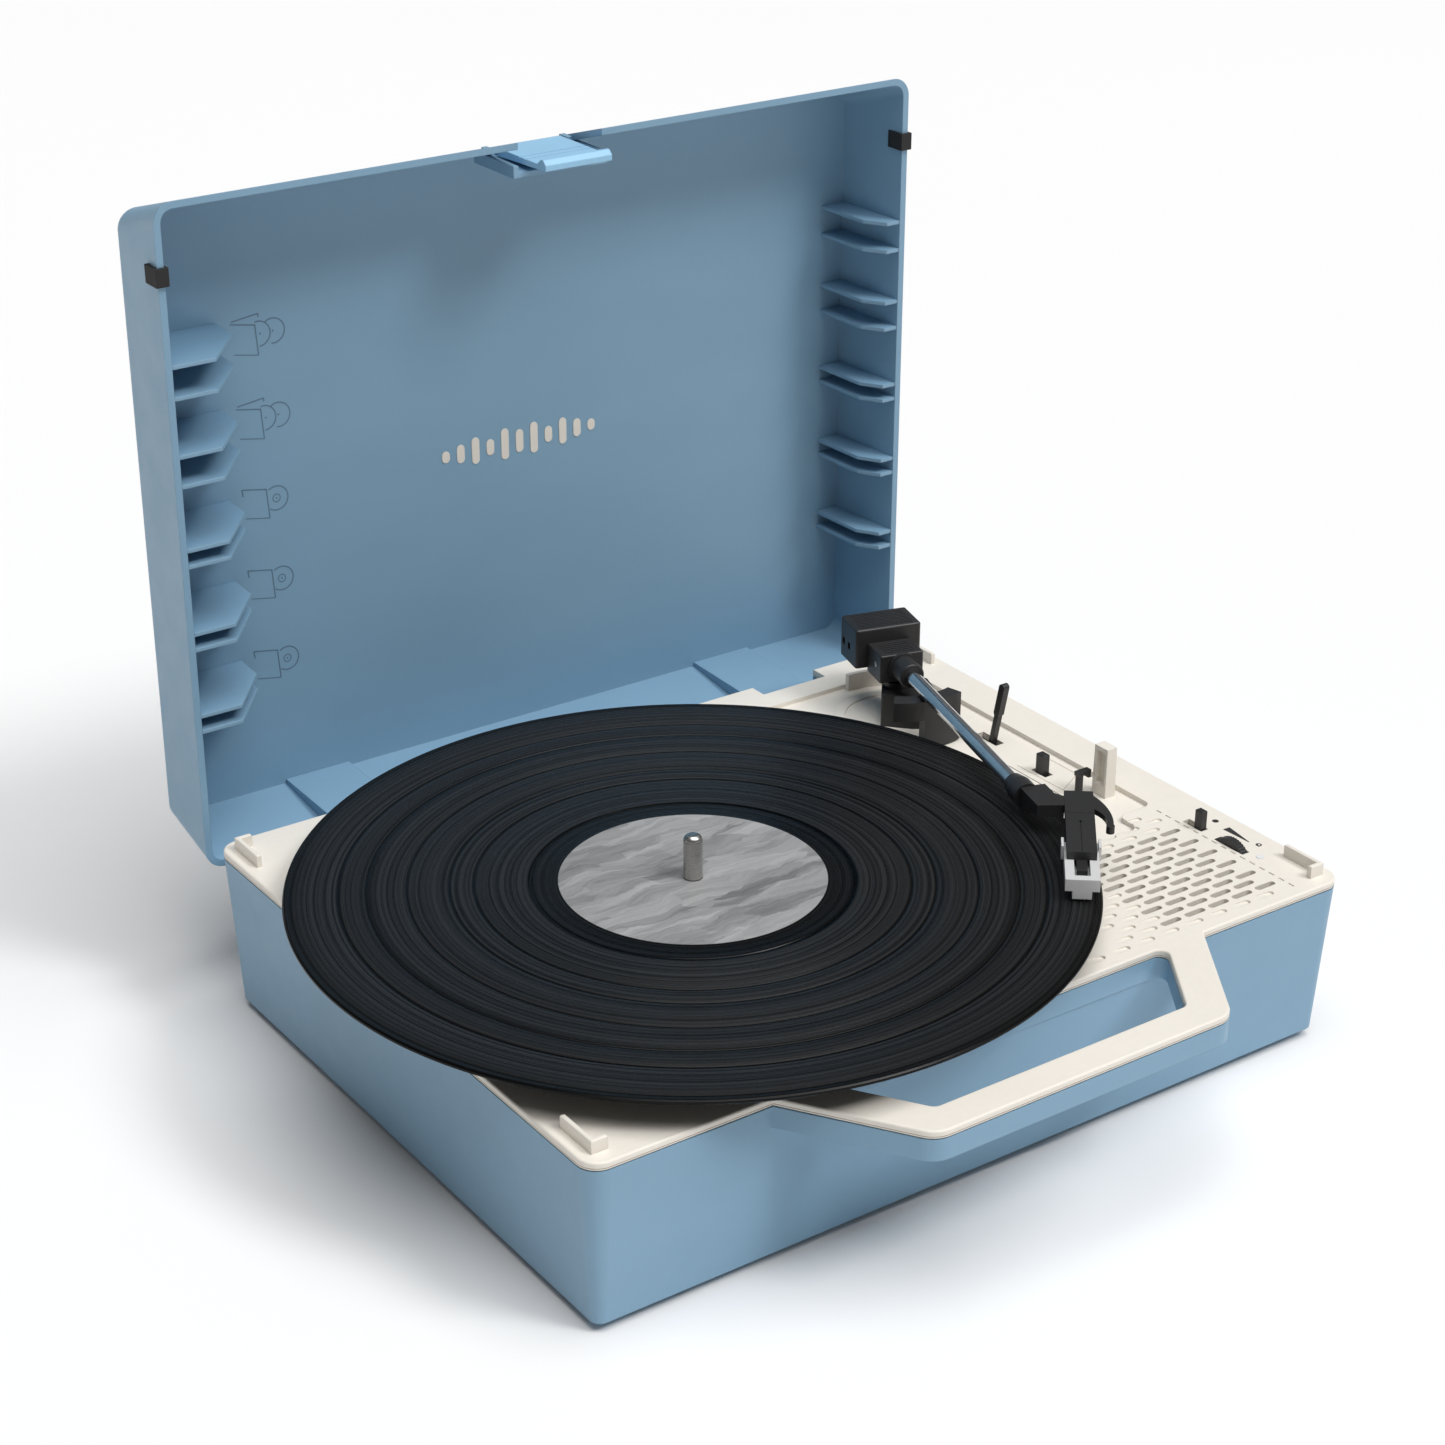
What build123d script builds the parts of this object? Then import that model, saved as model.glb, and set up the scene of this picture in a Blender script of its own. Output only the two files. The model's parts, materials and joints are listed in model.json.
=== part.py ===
from build123d import *
import math
import os

os.makedirs("parts", exist_ok=True)

# ---------------------------------------------------------------- driving dimensions (mm)
# Case: a shallow box with drafted walls, closed on top by the cream deck.
case_w, case_d = 340.8, 268.0
case_r = 8.0
foot_h = 4.0
deck_top = 70.45
deck_edge = 2.85
seam = 0.5
bottom_inset = 3.8
wall = 2.5
step_h = 2.0
step_gap = 0.5

# Carrying handle: a trapezoidal ring in front of the case, upper half cream and lower half blue.
handle_root, handle_corner, handle_reach = 99.0, 66.0, 182.0
window_root, window_corner, window_reach = 79.5, 56.5, 168.8
handle_lower_t = 8.5

# Lid, standing open behind the case. Its rim plane is vertical.
lid_rim_y, lid_back_y = 144.5, 184.5
lid_low, lid_high = 54.7, 322.5
lid_side_inset, lid_top_inset, lid_bottom_inset = 2.7, 12.0, 5.0
lid_wall = 2.8
hinge_y, hinge_z, hinge_r, hinge_pin_r = 131.4, 57.3, 5.7, 2.0
hinge_mid, hinge_half = 101.5, 14.5

# Record, platter and belt drive.
disc_x, disc_y, disc_r, disc_top, disc_t = -47.4, -13.6, 151.0, 84.45, 1.9
label_r, label_t = 50.0, 0.15
spindle_r, shaft_r, disc_hole_r, spindle_top = 3.6, 3.0, 3.65, 102.5
spindle_gap = 0.3
platter_r, mat_r, mat_t = 99.0, 112.0, 1.25
drive_rim_r, pulley_r, pulley_reach, pulley_angle = 75.0, 5.0, 85.0, 135.0
run_gap = 0.05

# Tonearm: vertical pivot, heading from -Y towards -X, height of the tube's axis at the pivot.
pivot_x, pivot_y = 120.4, 78.7
arm_heading = 15.5
arm_z = 94.5
recess_floor = 68.45

# Grille lattice.
slot_l, slot_w = 9.6, 2.7
grille_x, grille_y = 147.2, -53.5
grille_dx, grille_dy, grille_rows = 12.04, 5.23, 15

# ---------------------------------------------------------------- the part's frame
# The origin is under the middle of the whole object's footprint, so the case sits off centre.
bumper_t = 1.2
left_reach = disc_x - disc_r
right_reach = case_w / 2 + bumper_t
origin_x = -(left_reach + right_reach) / 2
origin_y = -(lid_back_y - handle_reach) / 2

shell_top = deck_top - deck_edge - seam
plate_low = deck_top - deck_edge
deck_low = plate_low - step_h
draft = math.degrees(math.atan(bottom_inset / (shell_top - foot_h)))


def at(z, x=0, y=0):
    """Level plane at height z, with its origin at case coordinates x, y."""
    return Plane(origin=(origin_x + x, origin_y + y, z))


def side_plane(x):
    """Upright plane across X at case coordinate x: local x is +Y, local y is +Z."""
    return Plane(origin=(origin_x + x, origin_y, 0), x_dir=(0, 1, 0), z_dir=(1, 0, 0))


def front_plane(y):
    """Upright plane facing +Y at case coordinate y: local x is -X, local y is +Z."""
    return Plane(origin=(origin_x, origin_y + y, 0), x_dir=(-1, 0, 0), z_dir=(0, 1, 0))


def level_box(x0, x1, y0, y1, z0, z1, mode=Mode.ADD):
    """Box between case coordinates."""
    mid = (origin_x + (x0 + x1) / 2, origin_y + (y0 + y1) / 2, (z0 + z1) / 2)
    with Locations(mid):
        return Box(x1 - x0, y1 - y0, z1 - z0, mode=mode)


def post(x, y, z0, z1, r, mode=Mode.ADD):
    """Upright cylinder at case coordinates."""
    with Locations((origin_x + x, origin_y + y, (z0 + z1) / 2)):
        return Cylinder(r, z1 - z0, mode=mode)


def write(builder, name):
    """Label a finished piece and write it."""
    builder.part.label = name
    export_step(builder.part, f"parts/{name}.step")


# ---------------------------------------------------------------- case
def handle_outline(z):
    """Handle ring with its finger window, rooted a little inside the front wall."""
    root_y = 2 - case_d / 2
    with BuildSketch(at(z)) as ring:
        Polygon(
            (-handle_root, root_y), (-handle_corner, -handle_reach),
            (handle_corner, -handle_reach), (handle_root, root_y), align=None,
        )
        fillet(ring.vertices().group_by(Axis.Y)[0], 10)
        Polygon(
            (-window_root, -case_d / 2), (-window_corner, -window_reach),
            (window_corner, -window_reach), (window_root, -case_d / 2),
            align=None, mode=Mode.SUBTRACT,
        )
        corners = [
            v for v in ring.vertices()
            if abs(v.X) < window_root + 1 and -window_reach - 1 < v.Y < root_y - 1
        ]
        fillet(corners, 3.5)
    return ring.sketch


notch_x0, notch_x1 = hinge_mid - 16.7, hinge_mid + 16.2
pulley_x = disc_x + pulley_reach * math.cos(math.radians(pulley_angle))
pulley_y = disc_y + pulley_reach * math.sin(math.radians(pulley_angle))
boss_x, boss_y, boss_r = 155.0, 119.5, 5.0
board_x0, board_x1, board_y0, board_y1, board_z, board_t = 8.0, 98.0, 8.0, 72.0, 13.0, 1.6
jack_x0, jack_x1, jack_z0, jack_z1 = -64.0, 6.0, 20.0, 44.0
jack_y0, jack_y1 = 125.0, 131.0

with BuildPart() as base_shell:
    with BuildSketch(at(shell_top)):
        RectangleRounded(case_w, case_d, case_r)
    extrude(amount=-(shell_top - foot_h), taper=draft)
    with BuildSketch(at(shell_top)):
        RectangleRounded(case_w - 2 * wall, case_d - 2 * wall, case_r - wall)
    extrude(amount=-(shell_top - foot_h - wall), taper=draft, mode=Mode.SUBTRACT)
    extrude(handle_outline(shell_top - handle_lower_t), amount=handle_lower_t)
    for sx in (-1, 1):
        for sy in (-1, 1):
            post(sx * boss_x, sy * boss_y, foot_h + wall, deck_low, boss_r)
        # hinge well: a window in the back wall and two lugs that carry the pin
        x0, x1 = sorted((sx * notch_x0, sx * notch_x1))
        level_box(x0, x1, 126.0, 136.0, 49.5, shell_top, mode=Mode.SUBTRACT)
        for lug in (x0 - 2.5, x1):
            level_box(lug, lug + 2.5, 126.5, 132.2, 49.5, 64.0)
            with BuildSketch(side_plane(lug)):
                with Locations((hinge_y, hinge_z)):
                    Circle(hinge_pin_r)
            extrude(amount=2.5, mode=Mode.SUBTRACT)
    for x in (board_x0 + 4, board_x1 - 4):
        for y in (board_y0 + 4, board_y1 - 4):
            post(x, y, foot_h + wall, board_z, 3.0)
    level_box(jack_x0, jack_x1, jack_y0, 136.0, jack_z0, jack_z1, mode=Mode.SUBTRACT)
write(base_shell, "base_shell")


def deck_slots(columns, rows, z):
    """Grille slots whose column and row numbers are kept; the rows are staggered."""
    with BuildSketch(at(z)) as slots:
        for row in rows:
            shift = 0.5 if row % 2 else 0.0
            for column in columns(row):
                x = grille_x - grille_dx * (column + shift)
                with Locations((x, grille_y - grille_dy * row)):
                    SlotOverall(slot_l, slot_w)
    return slots.sketch


def open_columns(row):
    """Columns cut right through: the square over the speaker."""
    return range(1, 5) if row % 2 == 0 else range(0, 5)


def blind_columns(row):
    """Columns beside and around the open square, sunk but not cut through."""
    if row in (0, 1, 2):
        return range(1, 4) if row % 2 == 0 else range(0, 3)
    if row == grille_rows - 1:
        return range(1, 9)
    return range(5, 6) if row < 10 else range(5, 7)


grille_top, grille_end = 3, grille_rows - 1
well_r, ring_in, ring_out = 8.0, 21.5, 26.0
volume_y, volume_r, volume_z = -90.8, 10.0, 63.4
mode_x, mode_y = 153.6, -73.0
speed_x, speed_y = 137.2, 2.7
cue_x, cue_y, cue_z = 139.6, 38.6, 61.0
clip_x, clip_y = 136.0, -21.0
rod_angle, rod_reach, rod_r = -90.0, 30.5, 2.5
rod_x = pivot_x + rod_reach * math.cos(math.radians(rod_angle))
rod_y = pivot_y + rod_reach * math.sin(math.radians(rod_angle))

with BuildPart() as deck:
    with BuildSketch(at(plate_low)):
        RectangleRounded(case_w, case_d, case_r)
    extrude(amount=deck_edge)
    extrude(handle_outline(plate_low), amount=deck_edge)
    fillet(deck.faces().sort_by(Axis.Z)[-1].edges(), 0.8)
    with BuildSketch(at(deck_low)):
        inner_gap = 2 * (wall + step_gap)
        RectangleRounded(case_w - inner_gap, case_d - inner_gap, case_r - wall - step_gap)
    extrude(amount=step_h)
    # sunk field around the tonearm, with a rounded front end
    with BuildSketch(at(recess_floor)) as field:
        with Locations((105.75, 33.25)):
            Rectangle(91.5, 160.5)
        with Locations((97.0, -52.0)):
            Rectangle(74.0, 13.0)
        ends = [v for v in field.vertices() if v.X > 130 and v.Y < 0]
        fillet(ends, 3.5)
    extrude(amount=10, mode=Mode.SUBTRACT)
    # shallow ring and curved guard wall about the arm's pivot
    with BuildSketch(at(recess_floor, pivot_x, pivot_y)):
        Circle(ring_out)
        Circle(ring_in, mode=Mode.SUBTRACT)
    extrude(amount=0.5)
    with BuildSketch(at(recess_floor, pivot_x, pivot_y)):
        with BuildLine():
            inner = CenterArc((0, 0), 31.5, 62, 30)
            outer = CenterArc((0, 0), 33.6, 62, 30)
            Line(inner @ 0, outer @ 0)
            Line(inner @ 1, outer @ 1)
        make_face()
    extrude(amount=7.6)
    # grille
    open_rows = range(grille_top, grille_end)
    extrude(deck_slots(open_columns, open_rows, deck_low), amount=10, mode=Mode.SUBTRACT)
    for row in range(grille_rows):
        for column in blind_columns(row):
            shift = 0.5 if row % 2 else 0.0
            x = grille_x - grille_dx * (column + shift)
            tilt = math.radians(6.0)
            floor_plane = Plane(
                origin=(origin_x + x, origin_y + grille_y - grille_dy * row, deck_top - 0.35),
                x_dir=(math.cos(tilt), 0, -math.sin(tilt)),
                z_dir=(math.sin(tilt), 0, math.cos(tilt)),
            )
            with BuildSketch(floor_plane):
                SlotOverall(slot_l, slot_w)
            extrude(amount=4, mode=Mode.SUBTRACT)
    with BuildSketch(at(deck_top - 0.6)):
        for row in range(grille_rows):
            with Locations((149.8, grille_y + 0.1 - grille_dy * row)):
                Rectangle(0.7, 2.9)
    extrude(amount=2, mode=Mode.SUBTRACT)
    # openings for the controls and the drive
    level_box(speed_x - 2.1, speed_x + 2.1, speed_y - 4.3, speed_y + 4.3, 60, 72, Mode.SUBTRACT)
    level_box(151.8, 155.4, -75.5, -64.8, 60, 72, mode=Mode.SUBTRACT)
    with BuildSketch(side_plane(151.5)):
        with Locations((volume_y, volume_z)):
            Circle(volume_r + 0.5)
    extrude(amount=3.8, mode=Mode.SUBTRACT)
    level_box(cue_x - 2.2, cue_x + 2.2, 32.5, 45.8, 60, 72, mode=Mode.SUBTRACT)
    post(disc_x, disc_y, 60, 72, well_r, mode=Mode.SUBTRACT)
    post(pulley_x, pulley_y, 60, 72, well_r, mode=Mode.SUBTRACT)
    post(pivot_x, pivot_y, 60, 72, 4.0, mode=Mode.SUBTRACT)
    post(rod_x, rod_y, 60, 72, rod_r + run_gap, mode=Mode.SUBTRACT)
    post(clip_x, clip_y, 60, 72, 1.6 + run_gap, mode=Mode.SUBTRACT)
    # slot that takes the latch when the lid is shut
    level_box(-17.5, 17.5, -130.0, -119.0, 60, 72, mode=Mode.SUBTRACT)
    # engraved guide lines
    level_box(129.6, 130.0, -30.0, 34.0, recess_floor - 0.4, 72, mode=Mode.SUBTRACT)
    for sx in (-1, 1):
        x0, x1 = sorted((sx * notch_x0, sx * notch_x1))
        level_box(x0, x1, 125.2, 136.0, 60, 72, mode=Mode.SUBTRACT)
    lamp_x, lamp_y, lamp_r = 155.8, -104.0, 1.5
    post(lamp_x, lamp_y, 60, 72, lamp_r, mode=Mode.SUBTRACT)
write(deck, "deck")

foot_x, foot_y = 150.0, 114.0
for i, (sx, sy) in enumerate(((-1, -1), (1, -1), (-1, 1), (1, 1)), 1):
    with BuildPart() as foot:
        with BuildSketch(at(foot_h, sx * foot_x, sy * foot_y)):
            Circle(9.5)
        extrude(amount=-foot_h, taper=10)
        fillet(foot.faces().sort_by(Axis.Z)[0].edges(), 0.8)
    write(foot, f"foot_{i}")

# L-shaped locating ribs on the deck's four corners
rib_x, rib_y, rib_run, rib_t, rib_h = 165.6, 127.6, 19.0, 1.9, 5.0
for i, (sx, sy) in enumerate(((-1, -1), (1, -1), (-1, 1), (1, 1)), 1):
    with BuildPart() as corner_post:
        x0, x1 = sorted((sx * (rib_x - rib_t), sx * rib_x))
        y0, y1 = sorted((sy * (rib_y - rib_run), sy * rib_y))
        level_box(x0, x1, y0, y1, deck_top, deck_top + rib_h)
        x0, x1 = sorted((sx * (rib_x - 6.5), sx * rib_x))
        y0, y1 = sorted((sy * (rib_y - rib_t), sy * rib_y))
        level_box(x0, x1, y0, y1, deck_top, deck_top + rib_h)
        fillet(corner_post.faces().sort_by(Axis.Z)[-1].edges(), 0.5)
    write(corner_post, f"corner_post_{i}")

with BuildPart() as arm_rest_post:
    with BuildSketch(at(recess_floor)):
        with Locations((144.8, -26.05)):
            Rectangle(5.4, 7.9)
    extrude(amount=21.5, taper=0.6)
    level_box(141.0, 145.0, -28.6, -23.6, recess_floor + 5, recess_floor + 19.6, mode=Mode.SUBTRACT)
write(arm_rest_post, "arm_rest_post")

with BuildPart() as status_lamp:
    post(lamp_x, lamp_y, deck_low - 3, deck_top + 0.2, lamp_r)
    post(lamp_x, lamp_y, deck_low - 3, deck_low, lamp_r + 1.5)
write(status_lamp, "status_lamp")

for side, sx in (("left", -1), ("right", 1)):
    x0, x1 = sorted((sx * notch_x0, sx * notch_x1))
    with BuildPart() as hinge_pin:
        with BuildSketch(side_plane(x0 - 2.5)):
            with Locations((hinge_y, hinge_z)):
                Circle(hinge_pin_r)
        extrude(amount=x1 - x0 + 5.0)
    write(hinge_pin, f"hinge_pin_{side}")

# ---------------------------------------------------------------- drive
with BuildPart() as bearing_bush:
    post(disc_x, disc_y, 46, 70.9, well_r)
    post(disc_x, disc_y, deck_low - 3, deck_low, 13)
    post(disc_x, disc_y, 46, 70.9, shaft_r + run_gap, mode=Mode.SUBTRACT)
write(bearing_bush, "bearing_bush")

with BuildPart() as spindle:
    post(disc_x, disc_y, 48, spindle_top, shaft_r)
    post(disc_x, disc_y, disc_top + label_t + spindle_gap, spindle_top, spindle_r)
    fillet(spindle.faces().sort_by(Axis.Z)[-1].edges(), 2.6)
write(spindle, "spindle")

mat_low = disc_top - disc_t - mat_t
with BuildPart() as platter:
    with BuildSketch(Plane(
        origin=(origin_x + disc_x, origin_y + disc_y, 0), x_dir=(1, 0, 0), z_dir=(0, -1, 0),
    )):
        Polygon(
            (shaft_r, mat_low), (platter_r, mat_low), (platter_r, 73), (95.5, 73),
            (95.5, 78), (drive_rim_r, 78), (drive_rim_r, 73), (71.5, 73), (71.5, 78),
            (12, 78), (12, 72), (shaft_r, 72), align=None,
        )
    revolve(axis=Axis((origin_x + disc_x, origin_y + disc_y, 0), (0, 0, 1)))
write(platter, "platter")

with BuildPart() as slip_mat:
    post(disc_x, disc_y, mat_low, mat_low + mat_t, mat_r)
    post(disc_x, disc_y, mat_low, mat_low + mat_t, shaft_r, mode=Mode.SUBTRACT)
write(slip_mat, "slip_mat")

with BuildPart() as record:
    post(disc_x, disc_y, disc_top - disc_t, disc_top, disc_r)
    fillet(record.edges(), 0.6)
    post(disc_x, disc_y, disc_top - disc_t, disc_top, disc_hole_r, mode=Mode.SUBTRACT)
write(record, "record")

with BuildPart() as record_label:
    post(disc_x, disc_y, disc_top, disc_top + label_t, label_r)
    post(disc_x, disc_y, disc_top, disc_top + label_t, disc_hole_r, mode=Mode.SUBTRACT)
write(record_label, "record_label")

motor_top = 62.9
with BuildPart() as motor_bracket:
    level_box(
        pulley_x - 27, pulley_x + 27, pulley_y - 22, pulley_y + 22, motor_top, deck_low,
    )
    post(pulley_x, pulley_y, motor_top, deck_low, well_r, mode=Mode.SUBTRACT)
write(motor_bracket, "motor_bracket")

with BuildPart() as motor_body:
    post(pulley_x, pulley_y, 38, motor_top, 18)
    fillet(motor_body.faces().sort_by(Axis.Z)[0].edges(), 2)
    post(pulley_x, pulley_y, 48, motor_top, 1.0 + run_gap, mode=Mode.SUBTRACT)
write(motor_body, "motor_body")

with BuildPart() as motor_pulley:
    post(pulley_x, pulley_y, 73, 77.5, pulley_r)
    post(pulley_x, pulley_y, 73, 73.6, pulley_r + 0.9)
    post(pulley_x, pulley_y, 49, 74, 1.0)
write(motor_pulley, "motor_pulley")

belt_gap, belt_t = 0.3, 0.9
with BuildPart() as drive_belt:
    with BuildSketch(at(74.0)):
        for extra, kind in ((belt_gap + belt_t, Mode.ADD), (belt_gap, Mode.SUBTRACT)):
            big, small = drive_rim_r + extra, pulley_r + extra
            lean = math.degrees(math.acos((big - small) / pulley_reach))
            spots = []
            for side in (1, -1):
                turn = math.radians(pulley_angle + side * lean)
                spots.append((
                    (disc_x + big * math.cos(turn), disc_y + big * math.sin(turn)),
                    (pulley_x + small * math.cos(turn), pulley_y + small * math.sin(turn)),
                ))
            (b1, s1), (b2, s2) = spots
            with Locations((disc_x, disc_y)):
                Circle(big, mode=kind)
            with Locations((pulley_x, pulley_y)):
                Circle(small, mode=kind)
            Polygon(b1, b2, s2, s1, align=None, mode=kind)
    extrude(amount=3.0)
write(drive_belt, "drive_belt")

# ---------------------------------------------------------------- electrics inside the case
speaker_x, speaker_y = 117.0, -96.5
with BuildPart() as speaker_frame:
    post(speaker_x, speaker_y, 61.6, deck_low, 32)
    with BuildSketch(at(61.6, speaker_x, speaker_y)):
        Circle(29)
    extrude(amount=-15, taper=32)
    post(speaker_x, speaker_y, 34.0, 46.6, 20)
    post(speaker_x, speaker_y, 61.0, deck_low, 28.5, mode=Mode.SUBTRACT)
write(speaker_frame, "speaker_frame")

with BuildPart() as speaker_cone:
    post(speaker_x, speaker_y, 61.0, 62.2, 28.5)
    post(speaker_x, speaker_y, 62.2, 64.6, 10)
    fillet(speaker_cone.faces().sort_by(Axis.Z)[-1].edges(), 2)
write(speaker_cone, "speaker_cone")

with BuildPart() as amplifier_board:
    level_box(board_x0, board_x1, board_y0, board_y1, board_z, board_z + board_t)
    for x, y, r, h in ((26, 26, 6, 16), (44, 26, 5, 14), (24, 52, 4, 10)):
        post(x, y, board_z + board_t, board_z + board_t + h, r)
    level_box(58, 86, 20, 44, board_z + board_t, board_z + board_t + 12)
write(amplifier_board, "amplifier_board")

jack_z = (jack_z0 + jack_z1) / 2
rca_xs, mini_x, power_x = (-52.0, -36.0), -18.0, -4.0
with BuildPart() as jack_panel:
    level_box(jack_x0, jack_x1, jack_y0, jack_y1, jack_z0, jack_z1)
    with BuildSketch(front_plane(jack_y1)):
        for x in rca_xs:
            with Locations((-x, jack_z)):
                Circle(3.0)
        with Locations((-mini_x, jack_z)):
            Circle(1.8)
        with Locations((-power_x, jack_z)):
            Circle(2.8)
    extrude(amount=-(jack_y1 - jack_y0), mode=Mode.SUBTRACT)
write(jack_panel, "jack_panel")

for side, x in zip(("left", "right"), rca_xs):
    with BuildPart() as rca_socket:
        with BuildSketch(front_plane(jack_y1)):
            with Locations((-x, jack_z)):
                Circle(4.2)
                Circle(3.0, mode=Mode.SUBTRACT)
        extrude(amount=8.5)
    write(rca_socket, f"rca_socket_{side}")

with BuildPart() as volume_pot:
    level_box(156.2, 163.0, volume_y - 6, volume_y + 6, 55, deck_low)
    with BuildSketch(side_plane(151.9)):
        with Locations((volume_y, volume_z)):
            Circle(2.0)
    extrude(amount=156.2 - 151.9)
write(volume_pot, "volume_pot")

with BuildPart() as cue_bracket:
    for x0, x1 in ((cue_x - 3.6, cue_x - 2.1), (cue_x + 2.1, cue_x + 3.6)):
        level_box(x0, x1, cue_y - 4.5, cue_y + 4.5, 57.5, deck_low)
    with BuildSketch(side_plane(cue_x - 3.6)):
        with Locations((cue_y, cue_z)):
            Circle(1.2)
    extrude(amount=7.2)
write(cue_bracket, "cue_bracket")

# ---------------------------------------------------------------- controls
with BuildPart() as volume_wheel:
    with BuildSketch(side_plane(151.8)):
        with Locations((volume_y, volume_z)):
            Circle(volume_r)
            with PolarLocations(volume_r, 48):
                Circle(0.28, mode=Mode.SUBTRACT)
            Circle(2.0 + run_gap, mode=Mode.SUBTRACT)
    extrude(amount=3.2)
write(volume_wheel, "volume_wheel")

slider_top = deck_low - 0.3
with BuildPart() as speed_switch:
    level_box(speed_x - 1.7, speed_x + 1.7, speed_y - 2.2, speed_y + 2.2, slider_top, 77.0)
    fillet(speed_switch.faces().sort_by(Axis.Z)[-1].edges(), 0.5)
    level_box(speed_x - 4.2, speed_x + 4.2, speed_y - 8, speed_y + 8, slider_top - 2, slider_top)
write(speed_switch, "speed_switch")

with BuildPart() as mode_switch:
    level_box(mode_x - 1.4, mode_x + 1.4, mode_y - 1.9, mode_y + 1.9, slider_top, 78.4)
    fillet(mode_switch.faces().sort_by(Axis.Z)[-1].edges(), 0.4)
    level_box(mode_x - 3.4, mode_x + 3.4, mode_y - 3.2, mode_y + 9, slider_top - 2, slider_top)
write(mode_switch, "mode_switch")

cue_lean = math.radians(11.8)
with BuildPart() as cue_lever:
    for width, low, high, half_x in ((3.6, -2.4, 6.0, 1.6), (2.4, 2.0, 23.0, 1.2), (3.2, 20.5, 36.5, 1.5)):
        mid = (low + high) / 2
        with BuildSketch(side_plane(cue_x - half_x)):
            with Locations(Location(
                (cue_y - mid * math.sin(cue_lean), cue_z + mid * math.cos(cue_lean)),
                90 + math.degrees(cue_lean),
            )):
                SlotOverall(high - low, width)
        extrude(amount=2 * half_x)
    with BuildSketch(side_plane(cue_x - 3)):
        with Locations((cue_y, cue_z)):
            Circle(1.2 + run_gap)
    extrude(amount=6, mode=Mode.SUBTRACT)
write(cue_lever, "cue_lever")

with BuildPart() as arm_clip:
    post(clip_x, clip_y, 60, 78.7, 1.6)
    level_box(clip_x - 1.6, clip_x + 5.0, clip_y - 1.4, clip_y + 1.4, 77.2, 79.0)
    level_box(clip_x + 3.6, clip_x + 5.0, clip_y - 1.4, clip_y + 1.4, 75.6, 79.0)
write(arm_clip, "arm_clip")

# ---------------------------------------------------------------- tonearm
heading = math.radians(arm_heading)
along = (-math.sin(heading), -math.cos(heading))


def arm_plane(z):
    """Level plane at the pivot: local x runs along the arm, local y to its right-hand side."""
    return Plane(
        origin=(origin_x + pivot_x, origin_y + pivot_y, z),
        x_dir=(along[0], along[1], 0), z_dir=(0, 0, 1),
    )


def arm_box(u0, u1, v0, v1, z0, z1, mode=Mode.ADD):
    """Box in the arm's own directions."""
    with BuildSketch(arm_plane(z0)) as base:
        with Locations(((u0 + u1) / 2, (v0 + v1) / 2)):
            Rectangle(u1 - u0, v1 - v0)
    return extrude(base.sketch, amount=z1 - z0, mode=mode)


def across(v):
    """Upright plane across the arm's pitch axis: local x along the arm, local y up."""
    side = (along[1] * -1, along[0])
    origin = (origin_x + pivot_x + side[0] * v, origin_y + pivot_y + side[1] * v, 0)
    return Plane(origin=origin, x_dir=(along[0], along[1], 0), z_dir=(-side[0], -side[1], 0))


base_top = 83.5
with BuildPart() as pivot_base:
    with BuildSketch(at(recess_floor)) as foot_print:
        Polygon(
            (109.5, 75.0), (118.7, 65.0), (124.0, 61.5), (131.0, 66.0), (135.0, 76.0),
            (131.0, 90.0), (123.5, 92.5), (117.0, 84.0), align=None,
        )
        fillet(foot_print.vertices(), 0.9)
    extrude(amount=base_top - recess_floor)
    post(pivot_x, pivot_y, recess_floor, base_top, 2.5 + run_gap, mode=Mode.SUBTRACT)
write(pivot_base, "pivot_base")

with BuildPart() as turret:
    post(pivot_x, pivot_y, 58, base_top + 0.1, 2.5)
    post(pivot_x, pivot_y, base_top + 0.1, 86.2, 5.5)
    arm_box(-2.5, 2.5, -4.0, 4.0, 86.0, 97.0)
    with BuildSketch(across(12)):
        with Locations((0, arm_z)):
            Circle(1.2 + run_gap)
    extrude(amount=24, mode=Mode.SUBTRACT)
write(turret, "turret")

block_front, block_back, block_half, block_low, block_top = 5.5, -9.5, 9.75, 87.8, 100.1
with BuildPart() as arm_block:
    arm_box(block_back, block_front, -block_half, block_half, block_low, block_top)
    fillet(arm_block.edges().filter_by(Axis.Z), 0.8)
    fillet(arm_block.faces().sort_by(Axis.Z)[-1].edges(), 0.7)
    arm_box(-5.0, 4.0, -4.5, 4.5, block_low - 1, 98.0, mode=Mode.SUBTRACT)
    for i in range(6):
        u = -6.6 + 1.75 * i
        arm_box(u, u + 0.7, -6.6, 6.6, block_top - 0.6, block_top + 1, mode=Mode.SUBTRACT)
    with BuildSketch(across(12)):
        with Locations((0, arm_z)):
            Circle(1.2)
    extrude(amount=24, mode=Mode.SUBTRACT)
write(arm_block, "arm_block")

with BuildPart() as gimbal_pin:
    with BuildSketch(across(block_half)):
        with Locations((0, arm_z)):
            Circle(1.2)
    extrude(amount=2 * block_half)
write(gimbal_pin, "gimbal_pin")

weight_back, weight_half, weight_low, weight_top = -27.5, 14.8, 88.9, 106.3
with BuildPart() as counterweight:
    arm_box(weight_back, block_back, -weight_half, weight_half, weight_low, weight_top)
    fillet(counterweight.edges().filter_by(Axis.Z), 1.2)
    fillet(counterweight.faces().sort_by(Axis.Z)[-1].edges(), 1.0)
    for i in range(10):
        u = -25.3 + 1.45 * i
        arm_box(u, u + 0.65, -11.6, 11.6, weight_top - 0.6, weight_top + 1, mode=Mode.SUBTRACT)
    for u in (-25.0, -19.0):
        arm_box(u, u + 2.6, -weight_half - 1, -weight_half + 1.5, 94.6, 97.8, mode=Mode.SUBTRACT)
write(counterweight, "counterweight")

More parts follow.
